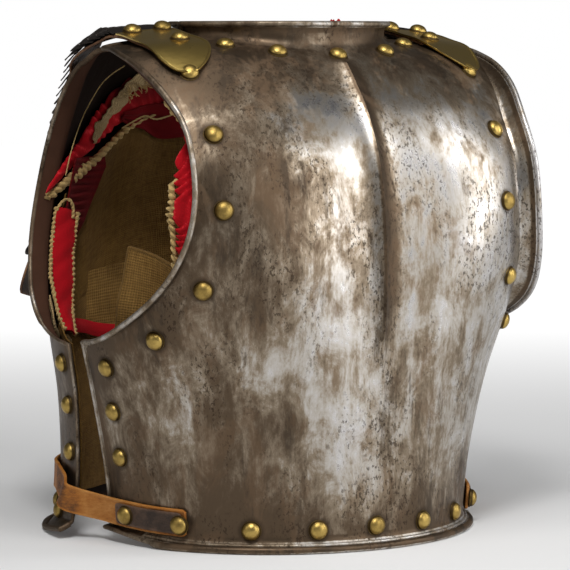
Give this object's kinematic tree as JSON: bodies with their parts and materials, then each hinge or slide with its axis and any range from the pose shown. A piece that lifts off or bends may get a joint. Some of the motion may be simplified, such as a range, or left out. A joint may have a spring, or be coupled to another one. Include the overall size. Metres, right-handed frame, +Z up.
{
  "type": "cuirass",
  "caption": "Cavalry cuirass: steel breastplate and backplate with brass rivets, scaled shoulder straps, a leather waist belt and bordered canvas linings.",
  "frame": {"origin": "on the ground under the middle of the waist, where the lower rims rest", "axes": "+Z up; the chest faces -Y; the wearer's right side is at -X"},
  "size_m": [0.3798, 0.3266, 0.414],
  "materials": {
    "steel": "worn polish with brown rust stains",
    "brass": "tarnished",
    "leather": "worn",
    "dark_leather": "worn",
    "scales": "dark patina",
    "canvas": "coarse weave, stained",
    "red_cloth": "felted wool",
    "cord": "twisted twine"
  },
  "bodies": {
    "root": {"breastplate": "steel", "backplate": "steel", "right_neck_rivet_1": "brass", "left_neck_rivet_1": "brass", "right_neck_rivet_2": "brass", "left_neck_rivet_2": "brass", "right_armhole_rivet_1": "brass", "left_armhole_rivet_1": "brass", "right_armhole_rivet_2": "brass", "left_armhole_rivet_2": "brass", "right_armhole_rivet_3": "brass", "left_armhole_rivet_3": "brass", "right_armhole_rivet_4": "brass", "left_armhole_rivet_4": "brass", "right_armhole_rivet_5": "brass", "left_armhole_rivet_5": "brass", "right_side_rivet_1": "brass", "left_side_rivet_1": "brass", "right_side_rivet_2": "brass", "left_side_rivet_2": "brass", "right_side_rivet_3": "brass", "left_side_rivet_3": "brass", "right_belt_rivet_1": "brass", "left_belt_rivet_1": "brass", "right_belt_rivet_2": "brass", "left_belt_rivet_2": "brass", "right_hem_rivet_1": "brass", "left_hem_rivet_1": "brass", "right_hem_rivet_2": "brass", "left_hem_rivet_2": "brass", "right_end_rivet_1": "brass", "left_end_rivet_1": "brass", "right_end_rivet_2": "brass", "left_end_rivet_2": "brass", "right_end_rivet_3": "brass", "left_end_rivet_3": "brass", "neck_rivet_3": "brass", "hem_rivet_3": "brass", "right_strap": "leather", "left_strap": "leather", "right_scales": "scales", "left_scales": "scales", "right_end_plate": "brass", "left_end_plate": "brass", "right_belt": "leather", "left_belt": "leather", "right_belt_tab": "dark_leather", "left_belt_tab": "dark_leather", "right_lining_flap": "canvas", "left_lining_flap": "canvas", "buckle": "brass", "breast_lining": "canvas", "back_lining": "canvas", "breast_ruffle": "red_cloth", "back_border": "red_cloth", "breast_cord": "cord", "back_cord_inner": "cord", "back_cord_outer": "cord", "torn_edge": "canvas", "neck_scrap": "red_cloth"}
  },
  "joints": []
}
